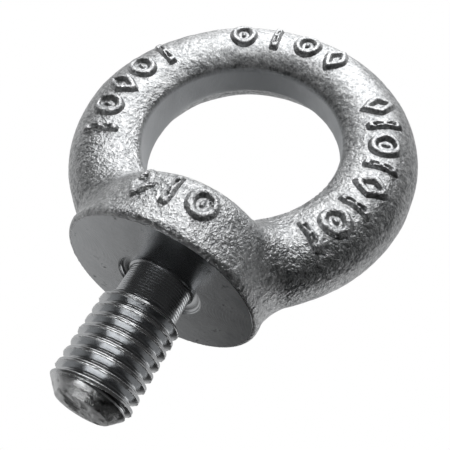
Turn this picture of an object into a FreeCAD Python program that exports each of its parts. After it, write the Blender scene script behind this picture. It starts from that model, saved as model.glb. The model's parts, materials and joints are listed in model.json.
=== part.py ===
import FreeCAD, Part
import math
import os
import Sketcher
from FreeCAD import Placement, Rotation, Vector

# Lifting eye bolt, M12 x 1.75: drop-forged eye and collar, turned seat and relief, cut thread.
# Frame: +Z up along the thread axis, origin at the centre of the seat, the eye stands up in the
# XZ plane and its bore runs along Y. The shank points down.
# The real bolt is a single forging. It is divided where its making divides it: forged eye and
# collar, turned seat and relief, threaded shank, tip, and the raised marks left by the die. The
# zones meet face to face and move as one body.

DRIVING = {
    # eye
    "boreRadius": 15.5,       # inside of the eye, on the trimmed land
    "eyeRadius": 27.4,        # outside of the eye
    "eyeThick": 12.0,         # front to back
    "eyeCentre": 26.6,        # height of the bore axis over the seat
    "landFront": 3.9,         # trimmed land, from the middle plane to its front edge
    "landBack": 1.8,          # and to its back edge
    "blendRadius": 4.0,       # forged fillet between eye and collar
    "footHeight": 9.0,        # the eye's foot starts here
    "zoneRadius": 15.75,      # the collar zone ends here, just outside its rim
    # collar
    "seatRadius": 14.4,       # flat seat, outer edge
    "rimRadius": 15.15,       # widest place of the collar
    "rimHeight": 0.8,         # top of the turned seat
    "shoulderRadius": 13.7,   # side and top would meet here without the rounding
    "shoulderHeight": 10.5,
    "shoulderRound": 3.4,
    "collarTop": 10.9,
    "recessRadius": 6.4,      # shallow recess in the seat, around the relief
    "recessDepth": 0.5,
    # shank
    "threadRadius": 5.9,      # M12 crest, as plated
    "threadPitch": 1.75,
    "threadDepth": 1.07,      # crest to root
    "crestFlat": 0.32,
    "rootFlat": 0.22,
    "threadPhase": 0.02,      # height of the groove over the thread's lower end, at azimuth 0
    "reliefRadius": 4.75,
    "reliefLength": 4.4,
    "reliefRound": 0.6,       # radius where the relief meets the recess
    "leadChamfer": 0.8,       # height of the chamfer at each end of the thread
    "shankLength": 20.2,      # seat to the end of the tip
    "tipLength": 1.7,
    "tipRadius": 3.45,
    "tipCrown": 0.25,         # the sheared end is slightly domed
    # raised marks
    "markHeight": 0.6,
    "markSpan": 5.0,
    "markWidth": 3.2,
    "markStroke": 1.3,
    "markDepth": 5.0,         # of the blocks that the marks are cut from
    "collarMarkHeight": 6.4,  # middle of the marks on the collar
}
CREST_SECTORS = 12    # the thread blank is drawn as this many arcs
RING_MARKS = (        # azimuth on the ring of the first mark, step to the next, shapes
    (203.5, -13.0, ("bar", "disc", "lozenge", "disc", "bar")),
    (114.5, -14.7, ("disc", "bar", "disc", "lozenge")),
    (37.8, -10.9, ("lozenge", "bar", "disc", "bar", "lozenge", "bar", "disc", "bar")),
)
COLLAR_MARKS = (-108.0, 18.0, ("lozenge", "bar", "disc"))    # azimuth about the thread axis

document = FreeCAD.newDocument("eye_bolt")
sheet = document.addObject("Spreadsheet::Sheet", "Sizes")
for row, (alias, value) in enumerate(DRIVING.items(), start=1):
    sheet.set(f"A{row}", alias)
    sheet.set(f"B{row}", str(value))
    sheet.setAlias(f"B{row}", alias)
document.recompute()


def size(alias):
    return float(sheet.get(alias))


def add(kind, name, shapes=None, **bindings):
    """Add an object; each binding ties one of its properties to an expression."""
    thing = document.addObject(kind, name)
    for key, text in bindings.items():
        thing.setExpression(key.replace("__", "."), text)
    if kind in ("Part::Cut", "Part::Common"):
        thing.Base, thing.Tool = shapes
    elif kind == "Part::MultiFuse":
        thing.Shapes = shapes
    document.recompute()
    return thing


def sketch_in(body, name, plane):
    sketch = body.newObject("Sketcher::SketchObject", name)
    origin = next(f for f in body.Origin.OriginFeatures if f.Role == plane)
    sketch.AttachmentSupport = [(origin, "")]
    sketch.MapMode = "FlatFace"
    return sketch


def start_body(name, plane):
    body = document.addObject("PartDesign::Body", name)
    return body, sketch_in(body, name + "_outline", plane)


def finish_body(body, kind, sketch, **settings):
    """Add the feature that turns or extrudes the sketch, and make it the body's tip."""
    feature = body.newObject(kind, f"{body.Name}_{len(body.Group)}")
    feature.Profile = sketch
    for key, value in settings.items():
        setattr(feature, key, value)
    body.Tip = feature
    document.recompute()
    return feature


def hold(sketch, edge, end, across, up):
    """Hold a point of a sketch at two expressions, measured from the sketch origin."""
    for kind, text in (("DistanceX", across), ("DistanceY", up)):
        value = float(sketch.evalExpression(text))
        index = sketch.addConstraint(Sketcher.Constraint(kind, -1, 1, edge, end, value))
        sketch.setExpression(f"Constraints[{index}]", text)


def outline(sketch, corners):
    """Closed outline of straight lines through corners given as pairs of expressions."""
    spots = [Vector(*(float(sketch.evalExpression(text)) for text in corner)) for corner in corners]
    edges = [sketch.addGeometry(Part.LineSegment(a, b), False)
             for a, b in zip(spots, spots[1:] + spots[:1])]
    for edge, following in zip(edges, edges[1:] + edges[:1]):
        sketch.addConstraint(Sketcher.Constraint("Coincident", edge, 2, following, 1))
    for edge, corner in zip(edges, corners):
        hold(sketch, edge, 1, *corner)


def turned(name, corners):
    """A body turned about Z from an outline of radius and height expressions."""
    body, sketch = start_body(name, "XZ_Plane")
    outline(sketch, corners)
    finish_body(body, "PartDesign::Revolution", sketch, ReferenceAxis=(sketch, ["V_Axis"]), Angle=360)
    return body


def edges_at(shape, radius, height):
    """Names of the circular edges about Z with this radius and height."""
    return [f"Edge{i}" for i, edge in enumerate(shape.Edges, start=1)
            if isinstance(edge.Curve, Part.Circle) and abs(edge.Curve.Radius - radius) < 1e-4
            and abs(edge.Curve.Center.z - height) < 1e-4]


# --- Eye: a ring of D section. Round outside, with a flat trimmed land on the bore. ---
def make_eye_blank():
    body, sketch = start_body("eye_blank", "YZ_Plane")
    body.setExpression("Placement.Base.z", "Sizes.eyeCentre")
    bore, half = size("boreRadius"), size("eyeThick") / 2
    middle = size("eyeRadius") - half
    front, back = -size("landFront"), size("landBack")
    normal = Vector(0, 0, 1)
    land = sketch.addGeometry(Part.LineSegment(Vector(front, bore), Vector(back, bore)), False)
    crown = sketch.addGeometry(
        Part.ArcOfCircle(Part.Circle(Vector(0, middle), normal, half), 0, math.pi), False)

    def flank(land_edge, side):
        """Arc from an edge of the land to the side of the ring, which it meets tangentially."""
        drop, reach = middle - bore, half - abs(land_edge)
        radius = (drop ** 2 + reach ** 2) / (2 * reach)
        swing = math.asin(drop / radius)
        limits = (-swing, 0) if side > 0 else (math.pi, math.pi + swing)
        circle = Part.Circle(Vector(side * (half - radius), middle), normal, radius)
        return sketch.addGeometry(Part.ArcOfCircle(circle, *limits), False)

    rear, fore = flank(back, 1), flank(front, -1)
    sketch.addConstraint(Sketcher.Constraint("Coincident", land, 2, rear, 1))
    sketch.addConstraint(Sketcher.Constraint("Coincident", fore, 2, land, 1))
    sketch.addConstraint(Sketcher.Constraint("Tangent", rear, 2, crown, 1))
    sketch.addConstraint(Sketcher.Constraint("Tangent", crown, 2, fore, 1))
    sketch.addConstraint(Sketcher.Constraint("Horizontal", crown, 1, crown, 2))
    hold(sketch, land, 1, "-Sizes.landFront", "Sizes.boreRadius")
    hold(sketch, land, 2, "Sizes.landBack", "Sizes.boreRadius")
    hold(sketch, crown, 1, "Sizes.eyeThick / 2", "Sizes.eyeRadius - Sizes.eyeThick / 2")
    document.recompute()
    finish_body(body, "PartDesign::Revolution", sketch, ReferenceAxis=(sketch, ["H_Axis"]), Angle=360)
    return body


# --- Collar: a drum with a turned seat below and a rounded shoulder above. ---
def make_collar_blank():
    body = turned("collar_blank", [
        ("0", "Sizes.recessDepth"),
        ("Sizes.recessRadius", "Sizes.recessDepth"),
        ("Sizes.recessRadius", "0"),
        ("Sizes.seatRadius", "0"),
        ("Sizes.rimRadius", "Sizes.rimHeight"),
        ("Sizes.shoulderRadius", "Sizes.shoulderHeight"),
        ("0", "Sizes.collarTop"),
    ])
    turn = body.Tip
    rounding = body.newObject("PartDesign::Fillet", "shoulder_rounding")
    rounding.Base = (turn, edges_at(turn.Shape, size("shoulderRadius"), size("shoulderHeight")))
    rounding.setExpression("Radius", "Sizes.shoulderRound")
    body.Tip = rounding
    document.recompute()
    return body


# --- Forged blank: eye and collar joined, with the die's fillet along the whole junction. ---
def make_forged_blank(eye_blank, collar_blank):
    core = add("Part::Cylinder", "collar_core", Radius="Sizes.shoulderRadius - 1.7",
               Height="Sizes.collarTop - Sizes.recessDepth + 3", Placement__Base__z="-4")
    trimmed = add("Part::Cut", "eye_without_core", (eye_blank, core))
    joined = add("Part::MultiFuse", "joined_blank", [trimmed, collar_blank])
    joined.Refine = True
    document.recompute()
    blend = document.addObject("Part::Fillet", "forged_blank")
    blend.Base = joined
    radius = size("blendRadius")
    blend.Edges = [(i, radius, radius) for i, edge in enumerate(joined.Shape.Edges, start=1)
                   if isinstance(edge.Curve, Part.BSplineCurve) and edge.BoundBox.Center.z > 1]
    document.recompute()
    return blend


# --- Thread: a blank with chamfered ends and one helical groove of V section. ---
def make_thread():
    body, sketch = start_body("threaded_shank", "XY_Plane")
    body.setExpression("Placement.Base.z", "Sizes.tipLength - Sizes.shankLength")
    radius, step = size("threadRadius"), 2 * math.pi / CREST_SECTORS
    circle = Part.Circle(Vector(), Vector(0, 0, 1), radius)
    # half a step off the X axis, so that no joint between arcs lies where the helix starts
    arcs = [sketch.addGeometry(Part.ArcOfCircle(circle, (n + 0.5) * step, (n + 1.5) * step), False)
            for n in range(CREST_SECTORS)]
    for arc, following in zip(arcs, arcs[1:] + arcs[:1]):
        sketch.addConstraint(Sketcher.Constraint("Coincident", arc, 2, following, 1))
    for arc in arcs[:-1]:
        sketch.addConstraint(Sketcher.Constraint("Coincident", arc, 3, -1, 1))
        sketch.addConstraint(Sketcher.Constraint("Angle", arc, step))
    sketch.addConstraint(Sketcher.Constraint("Equal", arcs[0], arcs[-1]))
    hold(sketch, arcs[0], 1, f"Sizes.threadRadius * cos({180 / CREST_SECTORS} deg)",
         f"Sizes.threadRadius * sin({180 / CREST_SECTORS} deg)")
    pad = finish_body(body, "PartDesign::Pad", sketch, Refine=False)
    pad.setExpression("Length", "Sizes.shankLength - Sizes.tipLength - Sizes.reliefLength")
    document.recompute()

    def chamfer(name, inner, level, far):
        """Cut a cone off one end of the blank."""
        cut = sketch_in(body, name, "XZ_Plane")
        outline(cut, [(inner, level), ("Sizes.threadRadius + 1", level),
                      ("Sizes.threadRadius + 1", far), ("Sizes.threadRadius", far)])
        finish_body(body, "PartDesign::Groove", cut, ReferenceAxis=(cut, ["V_Axis"]), Angle=360,
                    Refine=False)

    top = "Sizes.shankLength - Sizes.tipLength - Sizes.reliefLength"
    root = "Sizes.threadRadius - Sizes.threadDepth"
    chamfer("lower_chamfer", root, "0", "Sizes.leadChamfer")
    chamfer("upper_chamfer", root, top, f"{top} - Sizes.leadChamfer")

    groove = sketch_in(body, "groove_section", "XZ_Plane")
    # the V runs on past the crest, at the same angle, so that it leaves no skin
    mouth = "(Sizes.threadPitch - Sizes.crestFlat) / 2 * (1 + 0.15)"
    beyond = ("Sizes.threadRadius + 0.15 * Sizes.threadDepth"
              " * (Sizes.threadPitch - Sizes.crestFlat) / (Sizes.threadPitch - Sizes.crestFlat"
              " - Sizes.rootFlat)")
    middle = "Sizes.threadPhase - 2 * Sizes.threadPitch"
    outline(groove, [
        (root, f"{middle} - Sizes.rootFlat / 2"),
        (beyond, f"{middle} - {mouth}"),
        (beyond, f"{middle} + {mouth}"),
        (root, f"{middle} + Sizes.rootFlat / 2"),
    ])
    document.recompute()
    helix = finish_body(body, "PartDesign::SubtractiveHelix", groove,
                        ReferenceAxis=(groove, ["V_Axis"]), Mode="pitch-height-angle", Refine=False)
    helix.setExpression("Pitch", "Sizes.threadPitch")
    helix.setExpression("Height", f"{top} + 4 * Sizes.threadPitch")
    document.recompute()
    return body


# --- Raised marks: plain bars, discs and lozenges standing a little proud of the forging. ---
def mark_block(name, kind, place):
    """A block that stands through the surface; place has its Y axis along the outward normal."""
    if kind == "disc":
        block = add("Part::Cylinder", name, Radius="Sizes.markWidth / 2", Height="Sizes.markDepth")
        block.Placement = place * Placement(Vector(), Rotation(Vector(1, 0, 0), -90))
        return block
    across, along = ("markStroke", "markSpan") if kind == "bar" else ("markWidth", "markWidth")
    block = add("Part::Box", name, Length=f"Sizes.{across}", Width="Sizes.markDepth",
                Height=f"Sizes.{along}")
    tilt = Rotation(Vector(0, 1, 0), 45 if kind == "lozenge" else 0)
    corner = Vector(-size(across) / 2, 0, -size(along) / 2)
    block.Placement = place * Placement(Vector(), tilt) * Placement(corner, Rotation())
    return block


def raised(name, blocks, skin, forged_blank):
    """Marks: what the blocks hold between the forging and a skin around it."""
    group = add("Part::MultiFuse", name + "_blocks", blocks)
    under_skin = add("Part::Common", name + "_under_skin", (group, skin))
    return add("Part::Cut", name, (under_skin, forged_blank))


def make_ring_marks(forged_blank):
    half = size("eyeThick") / 2
    middle = size("eyeRadius") - half
    blocks = []
    for first, step, kinds in RING_MARKS:
        for n, kind in enumerate(kinds):
            azimuth = first + n * step
            out = Vector(math.cos(math.radians(azimuth)), 0, math.sin(math.radians(azimuth)))
            spot = Vector(0, 2 - half, size("eyeCentre")) + out * middle
            # half a turn about the radial direction points the block out of the front
            face = Rotation(Vector(0, 1, 0), 90 - azimuth) * Rotation(Vector(0, 0, 1), 180)
            blocks.append(mark_block(f"ring_block_{len(blocks)}", kind, Placement(spot, face)))
    skin = add("Part::Torus", "ring_skin", Radius1="Sizes.eyeRadius - Sizes.eyeThick / 2",
               Radius2="Sizes.eyeThick / 2 + Sizes.markHeight")
    skin.Placement = Placement(Vector(0, 0, size("eyeCentre")), Rotation(Vector(1, 0, 0), 90))
    return raised("ring_marks", blocks, skin, forged_blank)


def make_collar_marks(forged_blank):
    first, step, kinds = COLLAR_MARKS
    blocks = []
    for n, kind in enumerate(kinds):
        azimuth = first + n * step
        facing = Rotation(Vector(0, 0, 1), azimuth - 90)
        spot = facing.multVec(Vector(0, size("shoulderRadius") - 2, size("collarMarkHeight")))
        blocks.append(mark_block(f"collar_block_{n}", kind, Placement(spot, facing)))
    skin = add("Part::Cone", "collar_skin", Radius1="Sizes.rimRadius + Sizes.markHeight",
               Radius2="Sizes.shoulderRadius + Sizes.markHeight",
               Height="Sizes.shoulderHeight - Sizes.rimHeight", Placement__Base__z="Sizes.rimHeight")
    return raised("collar_marks", blocks, skin, forged_blank)


# --- Assembly ---
eye_blank = make_eye_blank()
collar_blank = make_collar_blank()
forged_blank = make_forged_blank(eye_blank, collar_blank)
seat_zone = add("Part::Cylinder", "seat_zone", Radius="Sizes.zoneRadius",
                Height="Sizes.rimHeight + 1", Placement__Base__z="-1")
drum_zone = add("Part::Cylinder", "drum_zone", Radius="Sizes.zoneRadius",
                Height="Sizes.footHeight - Sizes.rimHeight", Placement__Base__z="Sizes.rimHeight")
foot_zone = add("Part::Cylinder", "foot_zone", Radius="Sizes.zoneRadius",
                Height="Sizes.footHeight + 1", Placement__Base__z="-1")
threadEnd = "Sizes.tipLength - Sizes.shankLength"
nodes = {
    "eye_ring": add("Part::Cut", "eye_ring", (forged_blank, foot_zone)),
    "collar": add("Part::Common", "collar", (forged_blank, drum_zone)),
    "turned_seat": add("Part::Common", "turned_seat", (forged_blank, seat_zone)),
    "thread_relief": turned("thread_relief", [
        ("0", "Sizes.recessDepth"),
        ("0", "-Sizes.reliefLength"),
        ("Sizes.reliefRadius", "-Sizes.reliefLength"),
        ("Sizes.reliefRadius", "Sizes.recessDepth - Sizes.reliefRound"),
        ("Sizes.reliefRadius + Sizes.reliefRound", "Sizes.recessDepth"),
    ]),
    "threaded_shank": make_thread(),
    "shank_tip": turned("shank_tip", [
        ("0", threadEnd),
        ("0", "-Sizes.shankLength"),
        ("Sizes.tipRadius", "Sizes.tipCrown - Sizes.shankLength"),
        ("Sizes.threadRadius - Sizes.threadDepth", threadEnd),
    ]),
    "ring_marks": make_ring_marks(forged_blank),
    "collar_marks": make_collar_marks(forged_blank),
}

# --- Checks, then one STEP file for each node ---
for thing in document.Objects:
    if {"Invalid", "Error"} & set(thing.State):
        raise RuntimeError(f"{thing.Name} failed: {thing.getStatusString()}")
os.makedirs("parts", exist_ok=True)
for label, thing in nodes.items():
    thing.Label = label
    shape = thing.Shape
    if shape.isNull() or not shape.isValid() or not shape.Solids:
        raise RuntimeError(f"{label} has no valid solid")
    shape.exportStep(f"parts/{label}.step")
    print(f"{label}: {len(shape.Solids)} solid(s), {shape.Volume:.1f} mm3")
print(f"mass in steel: {sum(thing.Shape.Volume for thing in nodes.values()) * 7.85e-6:.3f} kg")
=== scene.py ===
import json
import math
import bmesh
import bpy
import numpy as np
from mathutils import Matrix, Vector, noise

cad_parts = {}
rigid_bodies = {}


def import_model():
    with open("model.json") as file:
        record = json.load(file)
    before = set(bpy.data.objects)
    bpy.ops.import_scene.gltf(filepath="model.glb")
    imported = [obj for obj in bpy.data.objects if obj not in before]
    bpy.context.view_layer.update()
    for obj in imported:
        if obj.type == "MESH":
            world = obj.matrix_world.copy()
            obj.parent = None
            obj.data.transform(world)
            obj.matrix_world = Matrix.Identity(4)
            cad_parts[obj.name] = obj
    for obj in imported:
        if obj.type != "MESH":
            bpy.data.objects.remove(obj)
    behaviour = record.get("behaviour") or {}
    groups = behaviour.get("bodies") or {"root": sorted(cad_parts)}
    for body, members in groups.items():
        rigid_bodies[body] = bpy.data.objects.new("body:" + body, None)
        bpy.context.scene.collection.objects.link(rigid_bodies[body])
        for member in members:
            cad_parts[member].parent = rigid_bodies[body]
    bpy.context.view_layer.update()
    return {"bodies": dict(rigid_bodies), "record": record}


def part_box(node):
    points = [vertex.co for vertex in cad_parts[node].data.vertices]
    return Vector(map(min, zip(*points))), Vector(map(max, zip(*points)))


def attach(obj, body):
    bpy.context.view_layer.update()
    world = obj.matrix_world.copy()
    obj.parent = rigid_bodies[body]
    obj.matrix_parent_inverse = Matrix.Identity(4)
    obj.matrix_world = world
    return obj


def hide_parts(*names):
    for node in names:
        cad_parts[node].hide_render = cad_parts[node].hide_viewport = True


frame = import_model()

mm = 0.001
perMm = 1000.0           # texture scales are per metre: perMm / size in mm
bodyName = next(iter(frame["bodies"]))
mounts = {mount["name"]: mount for mount in frame["record"]["mounts"]}
boreMount, threadMount = mounts["eye_bore"], mounts["shank_thread"]


def boxMm(node):
    return [np.array(corner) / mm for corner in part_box(node)]


eyeHigh, seatHigh, tipLow = boxMm("eye_ring")[1], boxMm("turned_seat")[1], boxMm("shank_tip")[0]
threadTop = boxMm("thread_relief")[0][2]


def addNode(tree, kind, settings=None, links=None):
    node = tree.nodes.new(kind)
    for key, value in (settings or {}).items():
        if isinstance(key, str) and hasattr(node, key):
            setattr(node, key, value)
        else:
            node.inputs[key].default_value = value
    for key, source in (links or {}).items():
        if isinstance(source, (int, float)):
            node.inputs[key].default_value = source
        else:
            tree.links.new(source.outputs[0] if hasattr(source, "outputs") else source, node.inputs[key])
    return node


def newTree(name, result, sockets):
    # an empty Geometry Nodes tree with named inputs and one result, and its input sockets by name
    tree = bpy.data.node_groups.new(name, "GeometryNodeTree")
    for socketName, kind in sockets:
        tree.interface.new_socket(socketName, in_out="INPUT", socket_type="NodeSocket" + kind)
    tree.interface.new_socket(result, in_out="OUTPUT", socket_type="NodeSocketGeometry")
    given = addNode(tree, "NodeGroupInput").outputs
    return tree, {socket.name: socket for socket in given if socket.name}


def fromHex(text):
    channels = [int(text[i:i + 2], 16) / 255 for i in (1, 3, 5)]
    return tuple(c / 12.92 if c <= 0.04045 else ((c + 0.055) / 1.055) ** 2.4 for c in channels) + (1.0,)


def newPiece(name, mesh, material=None, smooth=True):
    piece = bpy.data.objects.new(name, mesh)
    bpy.context.collection.objects.link(piece)
    if material:
        mesh.materials.clear()
        mesh.materials.append(material)
    mesh.shade_smooth() if smooth else mesh.shade_flat()
    return piece


def plainMesh(piece, name):
    bpy.context.view_layer.update()
    graph = bpy.context.evaluated_depsgraph_get()
    mesh = bpy.data.meshes.new_from_object(piece.evaluated_get(graph))
    mesh.name = name
    return mesh


def finishPiece(piece, slotName, *nodes):
    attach(piece, bodyName)
    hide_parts(*nodes)
    print(f"{piece.name}: {sum(len(face.vertices) - 2 for face in piece.data.polygons)} triangles")


def turnedMesh(name, profile, steps):
    # a closed section of (radius, height) points in mm, turned about Z
    angles = np.arange(steps) * 2 * math.pi / steps
    points = [(r * math.cos(a) * mm, r * math.sin(a) * mm, z * mm) for r, z in profile for a in angles]
    faces, rows = [], len(profile)
    for i in range(rows):
        for j in range(steps):
            k, n = (i + 1) % rows, (j + 1) % steps
            faces.append((i * steps + j, i * steps + n, k * steps + n, k * steps + j))
    mesh = bpy.data.meshes.new(name)
    mesh.from_pydata(points, [], faces)
    builder = bmesh.new()
    builder.from_mesh(mesh)
    bmesh.ops.remove_doubles(builder, verts=builder.verts, dist=1e-7)
    bmesh.ops.recalc_face_normals(builder, faces=builder.faces)
    builder.to_mesh(mesh)
    builder.free()
    return mesh


def newMetal(name):
    material = bpy.data.materials.new(name)
    material.use_nodes = True
    tree = material.node_tree
    shader = tree.nodes["Principled BSDF"]
    shader.inputs["Metallic"].default_value = 1.0
    return material, tree, shader, addNode(tree, "ShaderNodeTexCoord").outputs["Object"]


forgedFinish = {
    "bright": "#E6E7E8",         # zinc over peened steel, tops of the grain
    "dull": "#8A8C8E",           # in the pits
    "sheared": "#DADCDE",        # where the bore is trimmed
    "grain": 0.42,               # shot-blasted grain, mm
    "fineGrain": 0.2,
    "lumps": 1.6,
    "grainDepth": 0.19,
    "patches": 5.0,              # cloudy change of tone, mm
    "rough": (0.42, 0.55),
    "shine": -0.13,              # where the grain is deep the zinc is glossier
    "shearedRough": 0.25,
    "shearedDepth": 0.3,
    "thickBelow": 10.0,          # the grain is deepest round the collar and fades towards the top of the eye
    "thinAbove": 42.0,
    "thin": 0.25,
}


def forgedZinc():
    # zinc-plated, shot-blasted drop forging: a bright metal broken into glinting grains of about half a
    # millimetre, duller in the pits, and smooth, pale and matt where the trimming die has sheared the bore
    material, tree, shader, where = newMetal("forged_zinc_plated_steel")
    trimmed = addNode(tree, "ShaderNodeAttribute", {"attribute_name": "trimmed"}).outputs["Fac"]
    grain = addNode(tree, "ShaderNodeTexNoise", {"Scale": perMm / forgedFinish["grain"] / 2, "Detail": 3.0,
                                                  "Roughness": 0.6}, {"Vector": where})
    fine = addNode(tree, "ShaderNodeTexNoise", {"Scale": perMm / forgedFinish["fineGrain"] / 2, "Detail": 3.0,
                                                 "Roughness": 0.6}, {"Vector": where})
    lumps = addNode(tree, "ShaderNodeTexNoise", {"Scale": perMm / forgedFinish["lumps"], "Detail": 3.0,
                                                  "Roughness": 0.55}, {"Vector": where})
    patches = addNode(tree, "ShaderNodeTexNoise", {"Scale": perMm / forgedFinish["patches"], "Detail": 5.0,
                                                    "Roughness": 0.65}, {"Vector": where})
    skin = addNode(tree, "ShaderNodeMath", {"operation": "MULTIPLY_ADD", 1: 1.2}, {0: grain, 2: fine})
    skin = addNode(tree, "ShaderNodeMath", {"operation": "MULTIPLY_ADD", 1: 0.9}, {0: lumps, 2: skin})
    high = addNode(tree, "ShaderNodeSeparateXYZ", links={0: where}).outputs["Z"]
    depth = addNode(tree, "ShaderNodeMapRange", {
        "From Min": forgedFinish["thickBelow"] * mm, "From Max": forgedFinish["thinAbove"] * mm,
        "To Min": 1.0, "To Max": forgedFinish["thin"]}, {"Value": high})
    smooth = addNode(tree, "ShaderNodeMapRange", {"To Min": 1.0, "To Max": forgedFinish["shearedDepth"]},
                     {"Value": trimmed})
    depth = addNode(tree, "ShaderNodeMath", {"operation": "MULTIPLY"}, {0: depth, 1: smooth})
    bump = addNode(tree, "ShaderNodeBump", {"Distance": forgedFinish["grainDepth"] * mm},
                   {"Height": skin, "Strength": depth})
    speckle = addNode(tree, "ShaderNodeMath", {"operation": "MULTIPLY_ADD", 1: 0.7}, {0: grain, 2: fine})
    speckle = addNode(tree, "ShaderNodeMath", {"operation": "MULTIPLY_ADD", 1: 0.5}, {0: patches, 2: speckle})
    tone = addNode(tree, "ShaderNodeMapRange", {"From Min": 0.86, "From Max": 1.36}, {"Value": speckle})
    colour = addNode(tree, "ShaderNodeMix", {"data_type": "RGBA", 6: fromHex(forgedFinish["dull"]),
                                             7: fromHex(forgedFinish["bright"])}, {0: tone})
    sheared = addNode(tree, "ShaderNodeMix", {"data_type": "RGBA", 7: fromHex(forgedFinish["sheared"])},
                      {0: trimmed, 6: colour.outputs[2]})
    smoothest, roughest = forgedFinish["rough"]
    rough = addNode(tree, "ShaderNodeMapRange", {"From Min": 0.3, "From Max": 0.7, "To Min": smoothest,
                                                 "To Max": roughest}, {"Value": patches})
    rough = addNode(tree, "ShaderNodeMath", {"operation": "MULTIPLY_ADD", 1: forgedFinish["shine"]},
                    {0: depth, 2: rough})
    rough = addNode(tree, "ShaderNodeMath", {"operation": "MULTIPLY_ADD", 1: forgedFinish["shearedRough"]},
                    {0: trimmed, 2: rough})
    tree.links.new(sheared.outputs[2], shader.inputs["Base Color"])
    tree.links.new(rough.outputs[0], shader.inputs["Roughness"])
    tree.links.new(bump.outputs[0], shader.inputs["Normal"])
    return material


turnedFinish = {
    "dark": "#A5A7A9",
    "pale": "#C6C8CA",
    "speck": "#3A3B3C",          # pits that the cutter missed
    "toolPitch": 0.22,           # facing marks, mm
    "specks": 0.9,
    "cloud": 4.0,
    "depth": 0.02,
    "rough": (0.15, 0.28),
}


def turnedZinc():
    # zinc-plated turned steel: smooth, shiny grey with fine rings from the facing tool and a few dark specks
    material, tree, shader, where = newMetal("turned_zinc_plated_steel")
    rings = addNode(tree, "ShaderNodeTexWave", {"wave_type": "RINGS", "rings_direction": "Z",
                                                 "Scale": math.pi / 10 / (turnedFinish["toolPitch"] * mm),
                                                 "Distortion": 0.6, "Detail": 2.0, "Detail Scale": 0.3},
                    {"Vector": where})
    specks = addNode(tree, "ShaderNodeTexNoise", {"Scale": perMm / turnedFinish["specks"], "Detail": 4.0,
                                                   "Roughness": 0.6}, {"Vector": where})
    cloud = addNode(tree, "ShaderNodeTexNoise", {"Scale": perMm / turnedFinish["cloud"], "Detail": 4.0},
                    {"Vector": where})
    height = addNode(tree, "ShaderNodeMath", {"operation": "MULTIPLY_ADD", 1: 0.25}, {0: rings, 2: specks})
    bump = addNode(tree, "ShaderNodeBump", {"Distance": turnedFinish["depth"] * mm, "Strength": 0.7},
                   {"Height": height})
    group = addNode(tree, "ShaderNodeMapRange", {"From Min": 0.5, "From Max": 0.62, "To Min": -0.12,
                                                 "To Max": 0.0},
                    {"Value": cloud})
    spot = addNode(tree, "ShaderNodeMath", {"operation": "ADD"}, {0: specks, 1: group})
    spot = addNode(tree, "ShaderNodeMapRange", {"From Min": 0.56, "From Max": 0.66, "To Max": 0.8},
                   {"Value": spot})
    base = addNode(tree, "ShaderNodeMix", {"data_type": "RGBA", 6: fromHex(turnedFinish["dark"]),
                                           7: fromHex(turnedFinish["pale"])}, {0: cloud})
    colour = addNode(tree, "ShaderNodeMix", {"data_type": "RGBA", 7: fromHex(turnedFinish["speck"])},
                     {0: spot, 6: base.outputs[2]})
    smoothest, roughest = turnedFinish["rough"]
    rough = addNode(tree, "ShaderNodeMapRange", {"To Min": smoothest, "To Max": roughest}, {"Value": cloud})
    tree.links.new(colour.outputs[2], shader.inputs["Base Color"])
    tree.links.new(rough.outputs[0], shader.inputs["Roughness"])
    tree.links.new(bump.outputs[0], shader.inputs["Normal"])
    return material


threadFinish = {
    "flank": "#B4B6B8",
    "torn": "#E6E7E8",           # paler along the crest edges and on the sheared end: torn metal, and along the crest edges partly a painted highlight
    "stain": "#4A4B4C",          # on the sheared end
    "tears": 0.35,               # mm
    "tearDepth": 0.09,
    "cloud": 2.5,
    "flankTears": 0.1,           # how much of the tearing shows on the flanks
    "smoothest": 0.14,
    "tornRough": 0.18,
    "cloudRough": 0.1,
}


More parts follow.
